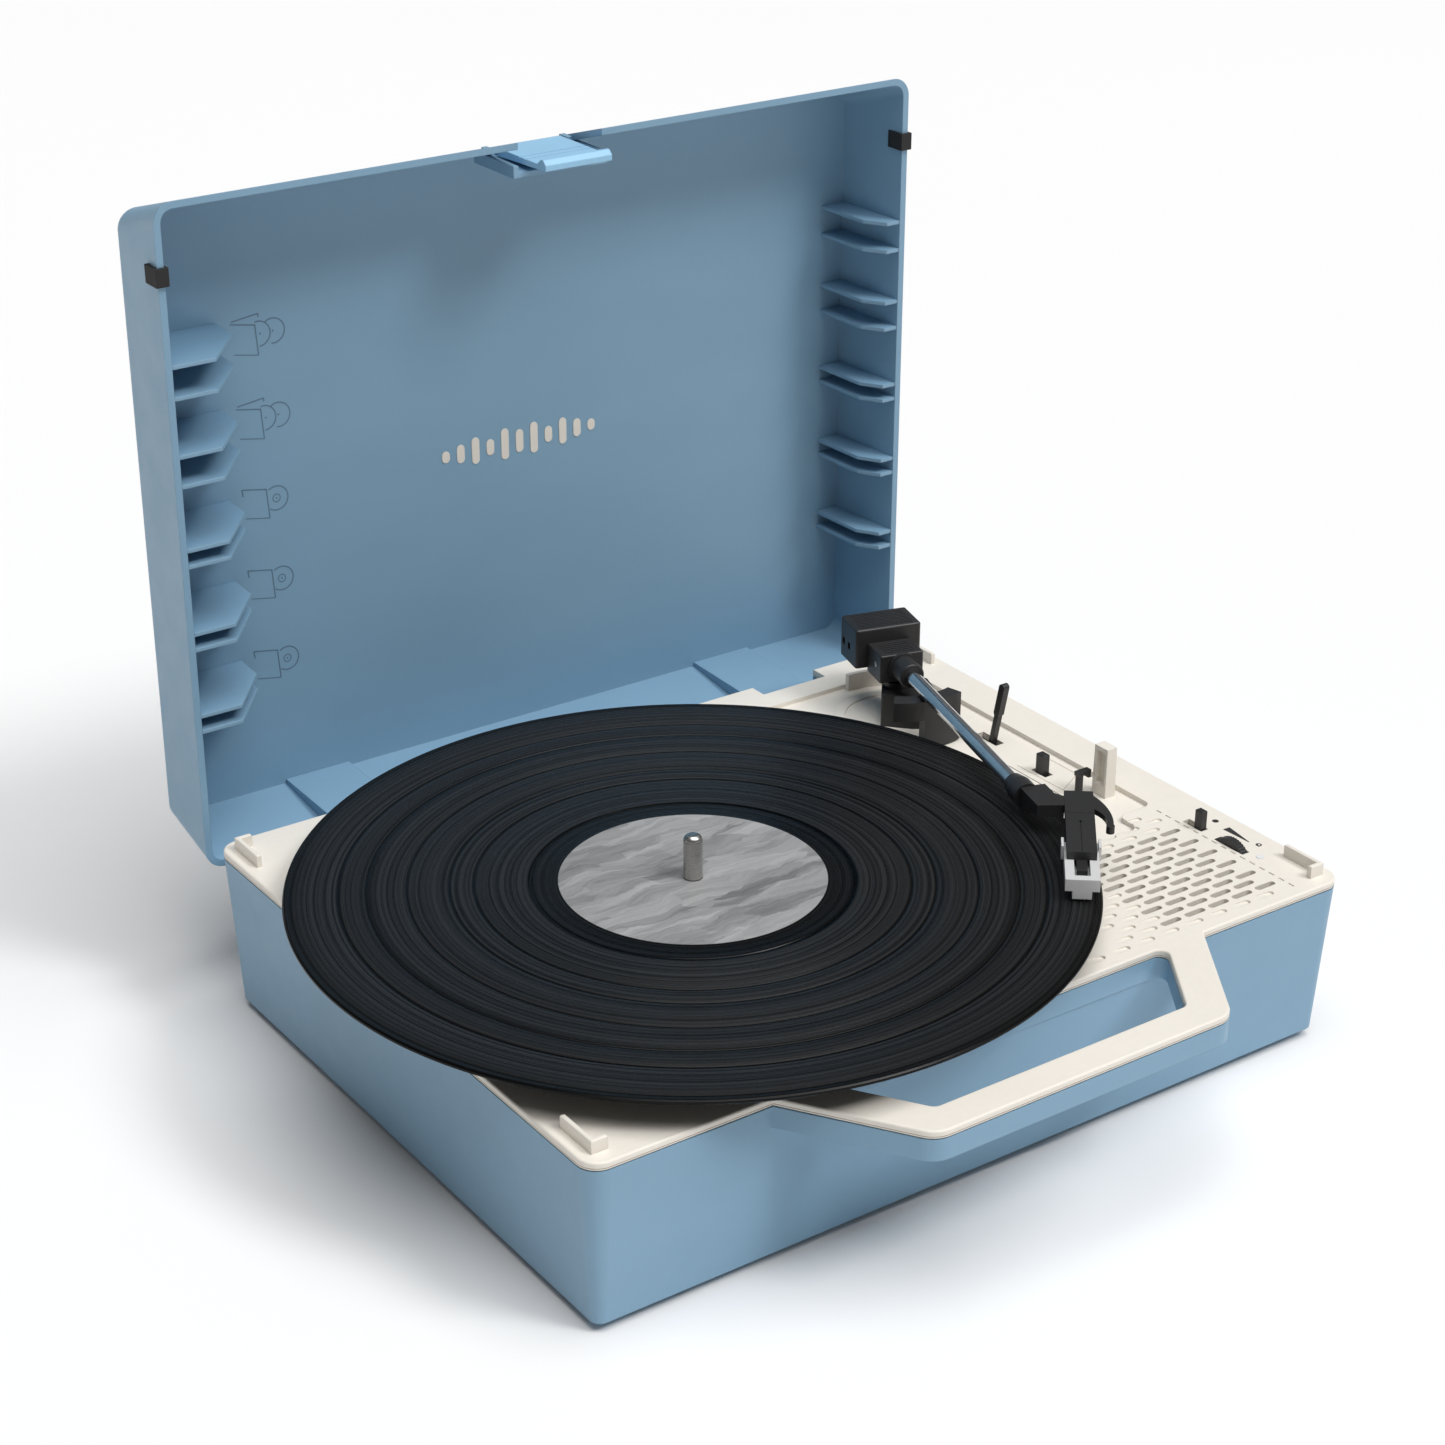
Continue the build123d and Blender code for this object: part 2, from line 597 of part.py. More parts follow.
# tube axis: starts at the collar's end, and falls gently towards the headshell
collar_end, tube_end, fall = 16.7, 117.7, 0.01
tube_r = 3.1


tube_axis = Vector(along[0], along[1], -fall).normalized()


def tube_plane(u):
    """Plane square to the tube's axis, at distance u from the pivot."""
    start = Vector(origin_x + pivot_x, origin_y + pivot_y, arm_z)
    return Plane(origin=start + tube_axis * u, z_dir=tube_axis)


with BuildPart() as arm_collar:
    with BuildSketch(tube_plane(block_front + 0.06)):
        Circle(6.3)
    extrude(amount=1.6)
    with BuildSketch(tube_plane(block_front + 0.06)):
        Circle(5.5)
    extrude(amount=collar_end - block_front - 0.06)
    fillet(arm_collar.edges().sort_by(Axis.Y)[0], 0.8)
write(arm_collar, "arm_collar")

with BuildPart() as arm_tube:
    with BuildSketch(tube_plane(collar_end)):
        Circle(tube_r)
    extrude(amount=tube_end - collar_end)
write(arm_tube, "arm_tube")

elbow_low, elbow_top = 91.8, 97.0
with BuildPart() as arm_elbow:
    with BuildSketch(arm_plane(elbow_low)):
        Polygon(
            (128.6, -2.6), (129.4, 7.7), (137.7, 7.7), (141.3, 10.15), (148.2, 7.05),
            (144.9, -2.8), align=None,
        )
    extrude(amount=elbow_top - elbow_low)
    arm_box(128.6, 134.0, -2.6, 3.4, 87.6, elbow_low)
    with BuildSketch(tube_plane(tube_end)) as boot:
        Circle(4.0)
    with BuildSketch(tube_plane(tube_end + 5.5)):
        Circle(5.2)
    loft()
    with BuildSketch(tube_plane(tube_end + 5.5)):
        Circle(5.2)
    extrude(amount=6.5)
write(arm_elbow, "arm_elbow")

# headshell frame: s runs forward along it, t to its right
shell_u, shell_v, shell_turn = 139.2, 17.2, 24.1
shell_l, shell_half, shell_t = 49.6, 5.55, 3.4


def head_plane(z):
    """Level plane at the middle of the headshell's back edge: local x runs forward along it."""
    turn = math.radians(arm_heading + shell_turn)
    side = (-along[1], along[0])
    x = pivot_x + along[0] * shell_u + side[0] * shell_v
    y = pivot_y + along[1] * shell_u + side[1] * shell_v
    return Plane(
        origin=(origin_x + x, origin_y + y, z),
        x_dir=(-math.sin(turn), -math.cos(turn), 0), z_dir=(0, 0, 1),
    )


def head_box(s0, s1, t0, t1, z0, z1, mode=Mode.ADD):
    """Box in the headshell's own directions."""
    with BuildSketch(head_plane(z0)) as base:
        with Locations(((s0 + s1) / 2, (t0 + t1) / 2)):
            Rectangle(s1 - s0, t1 - t0)
    return extrude(base.sketch, amount=z1 - z0, mode=mode)


head_low = elbow_top - shell_t
with BuildPart() as headshell:
    head_box(0, shell_l, -shell_half, shell_half, head_low, elbow_top)
    head_box(25.0, shell_l, -0.15, 0.15, elbow_top - 0.3, elbow_top + 1, mode=Mode.SUBTRACT)
    head_box(17.8, 18.1, -8, 8, elbow_top - 0.25, elbow_top + 1, mode=Mode.SUBTRACT)
    with BuildSketch(head_plane(elbow_top)):
        with Locations((25.0, 0)):
            Circle(0.6)
    extrude(amount=-1.2, mode=Mode.SUBTRACT)
    head_box(shell_l, shell_l + 8.5, -2.0, 2.0, 91.6, head_low)
    head_box(shell_l - 6, shell_l, -2.0, 2.0, 91.6, head_low)
write(headshell, "headshell")

with BuildPart() as finger_lift:
    with BuildSketch(head_plane(94.4)):
        with BuildLine():
            top_edge = ThreePointArc((2.6, shell_half), (11.5, 10.2), (27.6, 12.4))
            tip = Line(top_edge @ 1, (27.0, 14.0 - 4.2))
            under = ThreePointArc(tip @ 1, (18.0, 8.6), (14.0, shell_half))
            Line(under @ 1, top_edge @ 0)
        make_face()
    extrude(amount=2.2)
    with BuildSketch(head_plane(93.9)):
        with Locations((27.6, 11.2)):
            Circle(1.6)
    extrude(amount=3.0)
write(finger_lift, "finger_lift")

cart_low, cart_half, nose_low, nose_half = 88.8, 6.4, 85.6, 3.6
with BuildPart() as cartridge:
    head_box(36.0, 65.0, -cart_half, cart_half, cart_low, head_low)
    head_box(57.0, 65.0, -nose_half, nose_half, nose_low, cart_low)
    head_box(shell_l - 6.2, 61.6, -2.9, 2.9, cart_low + 1.4, head_low + 1, mode=Mode.SUBTRACT)
    for t in (-cart_half - 1.0, cart_half):
        head_box(36.0, 43.0, t, t + 1.0, 90.0, 95.6)
write(cartridge, "cartridge")

stylus_s, stylus_tip = 60.2, 84.62
with BuildPart() as stylus:
    with BuildSketch(head_plane(nose_low)):
        with Locations((stylus_s, 0)):
            Circle(0.7)
    with BuildSketch(head_plane(stylus_tip)):
        with Locations((stylus_s, 0)):
            Circle(0.15)
    loft()
write(stylus, "stylus")

platform_in, platform_out, platform_top = 27.0, 34.0, 90.6
with BuildPart() as cue_platform:
    for start, sweep, low in ((-130.0, 25.0, 82.0), (-107.0, 31.0, 69.2)):
        with BuildSketch(at(low, pivot_x, pivot_y)):
            with BuildLine():
                inner = CenterArc((0, 0), platform_in, start, sweep)
                outer = CenterArc((0, 0), platform_out, start, sweep)
                Line(inner @ 0, outer @ 0)
                Line(inner @ 1, outer @ 1)
            make_face()
        extrude(amount=platform_top - low)
    post(rod_x, rod_y, 52, 69.2, rod_r)
write(cue_platform, "cue_platform")

# ---------------------------------------------------------------- lid
lid_mid_z = (lid_low + lid_high) / 2
lid_h = lid_high - lid_low
back_mid_z = (lid_low + lid_bottom_inset + lid_high - lid_top_inset) / 2
back_w = case_w - 2 * lid_side_inset
back_h = lid_h - lid_bottom_inset - lid_top_inset


def lid_section(y, shrink):
    """Rounded rectangle across the lid at depth y, drawn in by shrink on every side."""
    share = (y - lid_rim_y) / (lid_back_y - lid_rim_y)
    w = case_w + (back_w - case_w) * share - 2 * shrink
    h = lid_h + (back_h - lid_h) * share - 2 * shrink
    mid_z = lid_mid_z + (back_mid_z - lid_mid_z) * share
    with BuildSketch(front_plane(y)) as section:
        with Locations((0, mid_z)):
            RectangleRounded(w, h, case_r - shrink)
    return section.sketch


inner_y = lid_back_y - lid_wall
pocket_half, pocket_floor, pocket_y = 19.0, 310.8, 172.0
latch_y, latch_z, latch_pin_r = 168.0, 313.5, 1.0
with BuildPart() as lid_shell:
    loft([lid_section(lid_rim_y, 0), lid_section(lid_back_y, 0)])
    fillet(lid_shell.faces().sort_by(Axis.Y)[-1].edges(), 3.0)
    loft([lid_section(lid_rim_y, lid_wall), lid_section(inner_y, lid_wall)], mode=Mode.SUBTRACT)
    # latch pocket in the top wall, open at the rim
    side = pocket_half + 2.2
    level_box(-side, side, lid_rim_y, pocket_y + 2.2, pocket_floor - 2.2, 313.4)
    level_box(
        -pocket_half, pocket_half, lid_rim_y - 1, pocket_y, pocket_floor, lid_high + 1,
        mode=Mode.SUBTRACT,
    )
    for x in (-pocket_half, pocket_half - 2.4):
        level_box(x, x + 2.4, latch_y - 2, pocket_y, pocket_floor, latch_z + 1.4)
    with BuildSketch(side_plane(-pocket_half)):
        with Locations((latch_y, latch_z)):
            Circle(latch_pin_r)
    extrude(amount=2 * pocket_half, mode=Mode.SUBTRACT)
write(lid_shell, "lid_shell")

with BuildPart() as latch_pin:
    with BuildSketch(side_plane(-pocket_half)):
        with Locations((latch_y, latch_z)):
            Circle(latch_pin_r)
    extrude(amount=2 * pocket_half)
write(latch_pin, "latch_pin")

latch_half = 15.0
with BuildPart() as latch:
    with BuildSketch(side_plane(-latch_half)):
        Polygon(
            (latch_y, 312.0), (131.2, 313.4), (131.2, 315.6), (133.0, 317.4), (134.4, 317.4),
            (137.4, 315.2), (latch_y, 315.2), align=None,
        )
        with Locations((latch_y, latch_z + 0.1)):
            Circle(1.7)
        for y in (146.0, 150.0):
            with Locations((y, 315.2)):
                Rectangle(0.7, 0.8, mode=Mode.SUBTRACT)
        with Locations((latch_y, latch_z)):
            Circle(latch_pin_r + run_gap, mode=Mode.SUBTRACT)
    extrude(amount=2 * latch_half)
write(latch, "latch")

knuckle_top = hinge_z + hinge_r
slope = (lid_bottom_inset / (lid_back_y - lid_rim_y))


def lid_floor(y):
    """Height of the lid's bottom wall, on its inner face."""
    return lid_low + slope * (y - lid_rim_y) + lid_wall


for side, sx in (("left", -1), ("right", 1)):
    with BuildPart() as knuckle:
        with BuildSketch(side_plane(sx * hinge_mid - hinge_half)):
            Polygon(
                (hinge_y, knuckle_top), (inner_y, knuckle_top + 1.0),
                (inner_y, lid_floor(inner_y)), (lid_rim_y, lid_floor(lid_rim_y)),
                (hinge_y + hinge_r * 0.8, hinge_z - hinge_r * 0.6), (hinge_y, hinge_z),
                align=None,
            )
            with Locations((hinge_y, hinge_z)):
                Circle(hinge_r)
                Circle(hinge_pin_r + run_gap, mode=Mode.SUBTRACT)
        extrude(amount=2 * hinge_half)
    write(knuckle, f"hinge_knuckle_{side}")

# sleeve ribs: level plates in pairs that hold a record sleeve between them
rib_heights = (261.1, 249.0, 226.4, 214.7, 189.2, 182.7, 155.1, 148.6, 120.8, 114.2)
rib_plate = 1.5
side_slope = lid_side_inset / (lid_back_y - lid_rim_y)


def lid_side(y):
    """Distance from the middle to the lid's side wall, on its inner face."""
    return case_w / 2 - side_slope * (y - lid_rim_y) - lid_wall


rib_front = lid_rim_y + 0.2
rib_outlines = {
    "left": [
        (-150.0, rib_front), (-132.6, 167.0), (-132.0, inner_y),
        (-lid_side(inner_y), inner_y), (-lid_side(rib_front), rib_front),
    ],
    "right": [
        (lid_side(rib_front), rib_front), (lid_side(inner_y), inner_y), (154.3, inner_y),
        (155.3, 154.0), (161.0, rib_front),
    ],
}
for side, outline in rib_outlines.items():
    with BuildPart() as ribs:
        for z in rib_heights:
            with BuildSketch(at(z - rib_plate / 2)):
                Polygon(*outline, align=None)
            extrude(amount=rib_plate)
    write(ribs, f"sleeve_ribs_{side}")

# rubber clips that wrap the lid's side rims
for side, sx in (("left", -1), ("right", 1)):
    with BuildPart() as bumper:
        x0, x1 = sorted((sx * (case_w / 2 - lid_wall - bumper_t), sx * (case_w / 2 + bumper_t)))
        level_box(x0, x1, lid_rim_y - bumper_t, lid_rim_y + 8.0, 292.0, 299.0)
        add(lid_shell.part, mode=Mode.SUBTRACT)
    write(bumper, f"rim_bumper_{side}")
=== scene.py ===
"""Portable record player in a case: finishes, fine detail, camera and light.

Everything is in metres in the part's own frame. case(x, y, z) takes millimetres from the middle of the case.
"""
import json
import math

import bmesh
import bpy
from mathutils import Matrix, Vector


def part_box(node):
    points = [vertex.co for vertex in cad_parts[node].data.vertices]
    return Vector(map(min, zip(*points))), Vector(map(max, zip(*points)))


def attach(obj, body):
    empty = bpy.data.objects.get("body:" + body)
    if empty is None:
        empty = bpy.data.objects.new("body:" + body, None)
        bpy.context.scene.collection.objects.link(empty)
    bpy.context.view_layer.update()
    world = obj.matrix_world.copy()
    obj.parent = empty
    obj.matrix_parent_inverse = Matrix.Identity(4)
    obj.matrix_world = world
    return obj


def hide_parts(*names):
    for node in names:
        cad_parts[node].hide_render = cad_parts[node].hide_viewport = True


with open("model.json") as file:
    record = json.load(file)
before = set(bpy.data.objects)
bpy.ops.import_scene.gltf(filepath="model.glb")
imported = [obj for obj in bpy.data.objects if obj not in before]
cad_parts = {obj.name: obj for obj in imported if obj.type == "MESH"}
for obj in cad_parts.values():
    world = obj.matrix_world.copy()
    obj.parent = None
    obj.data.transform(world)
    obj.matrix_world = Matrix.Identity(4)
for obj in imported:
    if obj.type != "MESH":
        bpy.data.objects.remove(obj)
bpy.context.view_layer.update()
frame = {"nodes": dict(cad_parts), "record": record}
nodes = frame["nodes"]

MM = 0.001
LID_BACK = 184.5
base_low, base_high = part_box("base_shell")
CASE_X = (base_low.x + base_high.x) / 2
CASE_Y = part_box("lid_shell")[1].y - LID_BACK * MM
label_low, label_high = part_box("record_label")
DISC = Vector(((label_low.x + label_high.x) / 2, (label_low.y + label_high.y) / 2, 0))
DECK_Z = 70.45
RECESS_DEPTH = 2.0
PANEL_Y = 181.7
RIM = 151.0
RUN_OUT = 60.1
TRACK_GAPS = (81.0, 90.0, 105.6, 120.6, 130.8)


def case(x, y, z):
    return Vector((CASE_X + x * MM, CASE_Y + y * MM, z * MM))


# ---------------------------------------------------------------- materials
class Paint:
    """One material's node tree, with short calls for the nodes used here."""

    def __init__(self, name, **constants):
        self.material = bpy.data.materials.new(name)
        self.material.use_nodes = True
        self.tree = self.material.node_tree
        self.shader = self.tree.nodes["Principled BSDF"]
        for socket, value in constants.items():
            self.shader.inputs[socket.replace("_", " ")].default_value = value
        self.place = self.node("TexCoord").outputs["Object"]

    def join(self, socket, value):
        if isinstance(value, bpy.types.NodeSocket):
            self.tree.links.new(value, socket)
        else:
            socket.default_value = value

    def node(self, kind, settings=None, **inputs):
        made = self.tree.nodes.new("ShaderNode" + kind)
        for key, value in (settings or {}).items():
            setattr(made, key, value)
        for key, value in inputs.items():
            self.join(made.inputs[key.replace("_", " ")], value)
        return made

    def math(self, operation, *values):
        made = self.node("Math", {"operation": operation})
        for socket, value in zip(made.inputs, values):
            self.join(socket, value)
        return made.outputs[0]

    def moved(self, offset=(0, 0, 0), scale=(1, 1, 1), turn=(0, 0, 0)):
        made = self.node("Mapping", Vector=self.place, Location=offset, Scale=scale, Rotation=turn)
        return made.outputs[0]

    def noise(self, scale, detail=3.0, where=None, roughness=0.5):
        where = where or self.place
        made = self.node("TexNoise", Vector=where, Scale=scale, Detail=detail, Roughness=roughness)
        return made.outputs[0]

    def rings(self, radius, scale, detail=2.0):
        made = self.node("TexNoise", {"noise_dimensions": "1D"}, W=radius, Scale=scale, Detail=detail)
        return made.outputs[0]

    def spread(self, value, low, high, to_low=0.0, to_high=1.0):
        made = self.node(
            "MapRange", Value=value, From_Min=low, From_Max=high, To_Min=to_low, To_Max=to_high,
        )
        return made.outputs[0]

    def mix(self, share, first, second, blend="MIX"):
        made = self.node("Mix", {"data_type": "RGBA", "blend_type": blend})
        for index, value in ((0, share), (6, first), (7, second)):
            self.join(made.inputs[index], value)
        return made.outputs[2]

    def shade(self, colour, tone):
        """The colour made lighter or darker by tone, which is 1 where it stays."""
        return self.node("HueSaturation", Color=colour, Value=tone).outputs[0]

    def bump(self, height, distance_mm, normal=None):
        made = self.node("Bump", Height=height, Distance=distance_mm * MM, Strength=1.0)
        if normal:
            self.join(made.inputs["Normal"], normal)
        return made.outputs[0]

    def edges(self, radius_mm):
        """(rounded normal, mask of convex and concave edges)"""
        rounded = self.node("Bevel", {"samples": 4}, Radius=radius_mm * MM).outputs[0]
        flat = self.node("NewGeometry").outputs["Normal"]
        dot = self.node("VectorMath", {"operation": "DOT_PRODUCT"})
        self.join(dot.inputs[0], rounded)
        self.join(dot.inputs[1], flat)
        return rounded, self.spread(dot.outputs["Value"], 0.99, 0.8)

    def finish(self, colour=None, roughness=None, normal=None, metallic=None):
        for socket, value in (
            ("Base Color", colour), ("Roughness", roughness), ("Normal", normal), ("Metallic", metallic),
        ):
            if value is not None:
                self.join(self.shader.inputs[socket], value)
        return self.material


def grey(level):
    return (level, level, level, 1)


def moulded(name, colour, roughness, grain_mm=0.012, grain_scale=1500, wear=0.25, mottle=0.05, round_mm=0.5):
    """Moulded plastic: fine spark-eroded grain, faint flow marks, and paler, smoother edges."""
    paint = Paint(name, IOR=1.47)
    rounded, edge = paint.edges(round_mm)
    flow = paint.noise(16, 5, paint.moved(scale=(1, 1, 2.5)))
    speck = paint.noise(420, 2)
    tone = paint.math(
        "ADD", paint.spread(flow, 0.3, 0.7, 1 - mottle, 1 + mottle),
        paint.spread(speck, 0.3, 0.7, -mottle / 3, mottle / 3),
    )
    body = paint.shade(colour, tone)
    pale = tuple(min(1, c * 1.25 + 0.03) for c in colour[:3]) + (1,)
    scuff = paint.spread(paint.noise(90, 6, roughness=0.7), 0.45, 0.6, 0.3, 1)
    body = paint.mix(paint.math("MULTIPLY", paint.math("MULTIPLY", edge, scuff), wear), body, pale)
    polish = paint.noise(70, 6, roughness=0.6)
    rough = paint.math(
        "SUBTRACT", paint.spread(polish, 0.3, 0.7, roughness - 0.05, roughness + 0.07),
        paint.math("MULTIPLY", edge, 0.08),
    )
    grain = paint.bump(paint.noise(grain_scale, 2), grain_mm, rounded)
    return paint.finish(body, rough, grain)


def make_deck_plastic(colour):
    """Cream deck plastic, with the parting line of its edge drawn as a fine dark groove."""
    paint = Paint("deck_plastic", IOR=1.47)
    rounded, edge = paint.edges(0.5)
    height = paint.node("SeparateXYZ", Vector=paint.place).outputs["Z"]
    off_line = paint.math("ABSOLUTE", paint.math("SUBTRACT", height, 68.2 * MM))
    line = paint.spread(off_line, 0.08 * MM, 0.2 * MM, 1, 0)
    flow = paint.noise(14, 5)
    speck = paint.noise(420, 2)
    tone = paint.math(
        "ADD", paint.spread(flow, 0.3, 0.7, 0.975, 1.02), paint.spread(speck, 0.3, 0.7, -0.012, 0.012),
    )
    body = paint.mix(line, paint.shade(colour, tone), (0.36, 0.29, 0.22, 1))
    scuff = paint.spread(paint.noise(80, 6, roughness=0.7), 0.45, 0.6, 0.2, 1)
    worn = paint.math("MULTIPLY", paint.math("MULTIPLY", edge, scuff), 0.3)
    body = paint.mix(worn, body, (0.93, 0.9, 0.84, 1))
    rough = paint.spread(paint.noise(60, 6, roughness=0.6), 0.3, 0.7, 0.4, 0.5)
    grain = paint.bump(paint.noise(1500, 2), 0.012, rounded)
    return paint.finish(body, rough, paint.bump(line, -0.1, grain))


def make_vinyl():
    """Pressed vinyl: fine concentric grooves in bands, with smooth gaps between the tracks."""
    paint = Paint("vinyl", IOR=1.5, Anisotropic=0.7, Specular_IOR_Level=0.13)
    flat = paint.node("VectorMath", {"operation": "MULTIPLY"}, Vector=paint.moved(offset=-DISC))
    flat.inputs[1].default_value = (1000, 1000, 0)
    radius = paint.node("VectorMath", {"operation": "LENGTH"}, Vector=flat.outputs[0]).outputs["Value"]
    ramp = paint.node("ValToRGB", Fac=paint.math("DIVIDE", radius, RIM))
    stripes = ramp.color_ramp
    stripes.interpolation = "LINEAR"
    half_gaps = (0.75, 0.35, 0.4, 0.4, 0.4, 0.4)
    stripes.elements[0].position = 0.0
    stripes.elements[0].color = grey(0.35)
    stripes.elements[1].position = 1.0
    stripes.elements[1].color = grey(0.25)
    for middle, half in zip((RUN_OUT,) + TRACK_GAPS, half_gaps):
        before = 0.35 if middle == RUN_OUT else 1.0
        for offset, level in ((-half - 0.25, before), (-half, 0.0), (half, 0.0), (half + 0.25, 1.0)):
            stop = stripes.elements.new((middle + offset) / RIM)
            stop.color = grey(level)
    for edge, level in ((147.2, 1.0), (147.6, 0.25)):
        stripes.elements.new(edge / RIM).color = grey(level)
    music = ramp.outputs[0]
    fine = paint.rings(radius, 2.4, 2)
    loud = paint.rings(radius, 0.6, 3)
    groove = paint.math("MULTIPLY", paint.math("ADD", fine, paint.math("MULTIPLY", loud, 0.6)), music)
    level = paint.math("MULTIPLY", music, paint.spread(loud, 0.35, 0.65, 0.004, 0.02))
    body = paint.node("CombineColor", Red=level, Green=paint.math("MULTIPLY", level, 1.03))
    paint.join(body.inputs["Blue"], paint.math("MULTIPLY", level, 1.08))
    dust = paint.spread(paint.noise(900, 2), 0.72, 0.78, 0, 0.04)
    colour = paint.mix(dust, body.outputs[0], grey(0.4))
    rough = paint.math("ADD", paint.spread(fine, 0.3, 0.7, 0.15, 0.3), paint.math("MULTIPLY", music, 0.06))
    tangent = paint.node("Tangent", {"direction_type": "RADIAL", "axis": "Z"})
    paint.join(paint.shader.inputs["Tangent"], tangent.outputs[0])
    return paint.finish(colour, rough, paint.bump(groove, 0.22))


def make_label_paper():
    """Uncoated label paper with an abstract wash of broad grey strokes."""
    paint = Paint("label_paper", IOR=1.45)
    centred = paint.moved(offset=-DISC)
    drift = paint.node("TexNoise", Vector=centred, Scale=45, Detail=4).outputs["Color"]
    bent = paint.mix(0.016, centred, drift, "ADD")
    strokes = []
    for turn, across, scale in ((0.25, 5.0, 26), (-0.45, 7.0, 20), (1.9, 4.0, 34)):
        line = paint.node("Mapping", Vector=bent, Rotation=(0, 0, turn), Scale=(1, across, 1))
        cells = paint.node("TexVoronoi", Vector=line.outputs[0], Scale=scale)
        strokes.append(paint.node("SeparateColor", Color=cells.outputs["Color"]).outputs[0])
    patches = paint.mix(0.45, paint.mix(0.5, strokes[0], strokes[1]), strokes[2])
    hair = paint.node("Mapping", Vector=bent, Rotation=(0, 0, 0.3), Scale=(1, 14, 1))
    bristle = paint.noise(60, 6, hair.outputs[0], 0.65)
    tone = paint.math("ADD", paint.math("MULTIPLY", patches, 0.7), paint.math("MULTIPLY", bristle, 0.6))
    ramp = paint.node("ValToRGB", Fac=tone)
    ramp.color_ramp.elements[0].position = 0.25
    ramp.color_ramp.elements[0].color = grey(0.11)
    ramp.color_ramp.elements[1].position = 0.95
    ramp.color_ramp.elements[1].color = grey(0.37)
    fibre = paint.noise(1800, 3)
    rough = paint.spread(fibre, 0.3, 0.7, 0.5, 0.65)
    return paint.finish(ramp.outputs[0], rough, paint.bump(fibre, 0.02))


def brushed(name, colour, roughness, across, scale=2200):
    """Turned or drawn metal: fine lines that run along one way, with soft smears."""
    paint = Paint(name, Anisotropic=0.4)
    lines = paint.noise(scale, 3, paint.moved(scale=across))
    smear = paint.noise(90, 4)
    tone = paint.math(
        "ADD", paint.spread(lines, 0.3, 0.7, 0.9, 1.05), paint.spread(smear, 0.3, 0.7, -0.05, 0.05),
    )
    rough = paint.spread(lines, 0.3, 0.7, roughness - 0.05, roughness + 0.08)
    rounded, _ = paint.edges(0.15)
    paint.shader.inputs["Metallic"].default_value = 1.0
    return paint.finish(paint.shade(colour, tone), rough, paint.bump(lines, 0.006, rounded))


def make_felt():
    paint = Paint("felt", Sheen_Weight=0.5, Sheen_Roughness=0.4, IOR=1.3)
    fluff = paint.noise(1400, 5, roughness=0.7)
    tone = paint.spread(paint.noise(30, 4), 0.3, 0.7, 0.8, 1.2)
    colour = paint.mix(fluff, paint.shade((0.022, 0.022, 0.025, 1), tone), (0.05, 0.05, 0.055, 1))
    return paint.finish(colour, paint.spread(fluff, 0.2, 0.8, 0.85, 1.0), paint.bump(fluff, 0.15))


def make_board():
    """Circuit board: solder mask over tracks, with fine glass weave."""
    paint = Paint("board", IOR=1.5)
    tracks = paint.node("TexBrick", Vector=paint.place, Scale=180.0, Mortar_Size=0.06)
    track = tracks.outputs["Fac"]
    weave = paint.noise(2200, 2)
    mask = paint.shade((0.02, 0.11, 0.05, 1), paint.spread(weave, 0.3, 0.7, 0.85, 1.15))
    colour = paint.mix(track, mask, (0.05, 0.2, 0.09, 1))
    return paint.finish(colour, paint.spread(weave, 0.3, 0.7, 0.3, 0.45), paint.bump(track, 0.04))


def make_cone_paper():
    paint = Paint("cone_paper", IOR=1.4)
    pulp = paint.noise(700, 6, roughness=0.7)
    colour = paint.mix(pulp, (0.03, 0.028, 0.026, 1), (0.1, 0.095, 0.09, 1))
    return paint.finish(colour, paint.spread(pulp, 0.3, 0.7, 0.75, 0.95), paint.bump(pulp, 0.1))


def make_lamp():
    paint = Paint("lamp_plastic", Transmission_Weight=0.15, IOR=1.5)
    depth = paint.noise(500, 3)
    colour = paint.shade((0.9, 0.92, 0.93, 1), paint.spread(depth, 0.3, 0.7, 0.97, 1.02))
    return paint.finish(colour, paint.spread(depth, 0.3, 0.7, 0.18, 0.28), paint.edges(0.3)[0])


BLUE = (0.215, 0.368, 0.505, 1)
CREAM = (0.8, 0.755, 0.68, 1)
finishes = {
    "blue_plastic": moulded("blue_plastic", BLUE, 0.42, mottle=0.02),
    "cream_plastic": moulded("cream_plastic", CREAM, 0.44, mottle=0.02, wear=0.3),
    "black_plastic": moulded("black_plastic", (0.022, 0.022, 0.023, 1), 0.4, wear=0.2, round_mm=0.15),
    "light_plastic": moulded("light_plastic", (0.62, 0.62, 0.62, 1), 0.38, mottle=0.03, round_mm=0.3),
    "lamp_plastic": make_lamp(),
    "tube_chrome": brushed("tube_chrome", (0.72, 0.74, 0.76, 1), 0.16, (1, 0.2, 1)),
    "steel": brushed("steel", (0.5, 0.49, 0.47, 1), 0.28, (0.05, 0.05, 1)),
    "bush_brass": brushed("bush_brass", (0.68, 0.5, 0.24, 1), 0.3, (0.05, 0.05, 1)),
    "vinyl": make_vinyl(),
    "label_paper": make_label_paper(),
    "felt": make_felt(),
    "platter_paint": moulded("platter_paint", (0.03, 0.03, 0.032, 1), 0.5, grain_mm=0.03, grain_scale=700),
    "rubber": moulded("rubber", (0.02, 0.02, 0.02, 1), 0.75, grain_mm=0.02, grain_scale=900, wear=0.4),
    "cone_paper": make_cone_paper(),
    "board": make_board(),
}
latch_blue = moulded("latch_plastic", (0.31, 0.56, 0.78, 1), 0.36, mottle=0.03)
deck_cream = make_deck_plastic(CREAM)
ink = moulded("printed_ink", (0.03, 0.03, 0.03, 1), 0.5, grain_mm=0.005, wear=0.5, round_mm=0.1)
# Painted shade: the sleeve signs' lines are coloured dark blue to stand in for the shade inside engraved
# grooves.
groove_shade_blue = moulded("engraved_line_painted_shade", (0.11, 0.19, 0.27, 1), 0.5, grain_mm=0.005, wear=0.0, round_mm=0.1)
